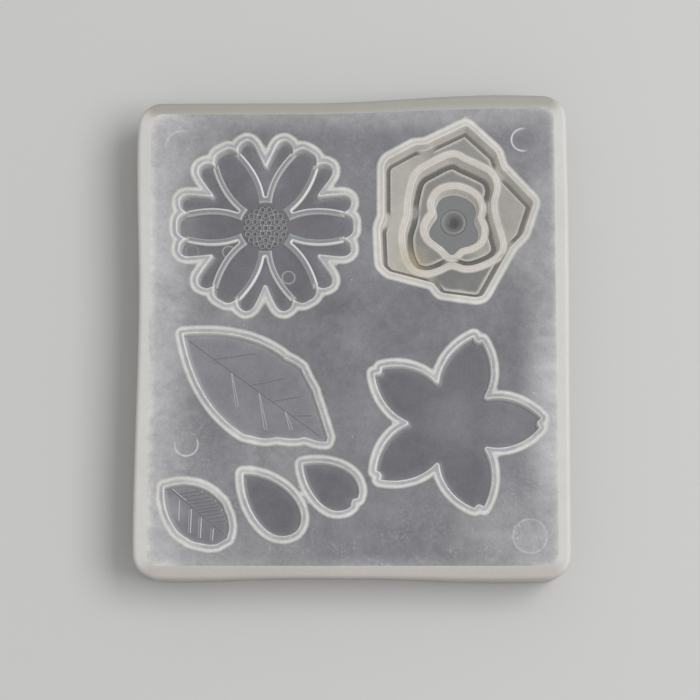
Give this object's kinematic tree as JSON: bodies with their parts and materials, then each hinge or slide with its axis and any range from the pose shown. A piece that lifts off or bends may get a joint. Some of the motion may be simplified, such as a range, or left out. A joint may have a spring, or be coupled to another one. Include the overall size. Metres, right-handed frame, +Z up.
{
  "type": "silicone soap mould",
  "caption": "Flat rectangular silicone mould on a tall rim, with walled cavities shaped as a daisy, a stepped rose, a blossom, leaves and petals, for casting soap or resin flowers.",
  "frame": {"origin": "under the middle of the mould, on the surface it stands on", "axes": "+Z up out of the cavities, +Y along the length towards the daisy and the rose, +X from the daisy to the rose"},
  "size_m": [0.108, 0.121, 0.0152],
  "materials": {
    "silicone_rim": "milky translucent silicone, satin; pale where the wall is tall",
    "silicone_sheet": "milky translucent silicone, frosted and cloudy; greyer where thin",
    "silicone_cup": "milky translucent silicone, satin lip, glossier floor",
    "silicone_relief": "milky translucent silicone, satin",
    "silicone_rose": "milky translucent silicone, creamier where the walls stack up"
  },
  "bodies": {
    "root": {"rim_skirt": "silicone_rim", "top_sheet": "silicone_sheet", "tool_marks": "silicone_sheet", "daisy_cup": "silicone_cup", "daisy_ridges": "silicone_relief", "daisy_seed_disc": "silicone_relief", "rose_outer_cup": "silicone_rose", "rose_middle_cup": "silicone_rose", "rose_inner_cup": "silicone_rose", "rose_bud_ring": "silicone_rose", "blossom_cup": "silicone_cup", "large_leaf_cup": "silicone_cup", "large_leaf_veins": "silicone_relief", "small_leaf_cup": "silicone_cup", "small_leaf_veins": "silicone_relief", "petal_cup": "silicone_cup", "notched_petal_cup": "silicone_cup"}
  },
  "joints": []
}
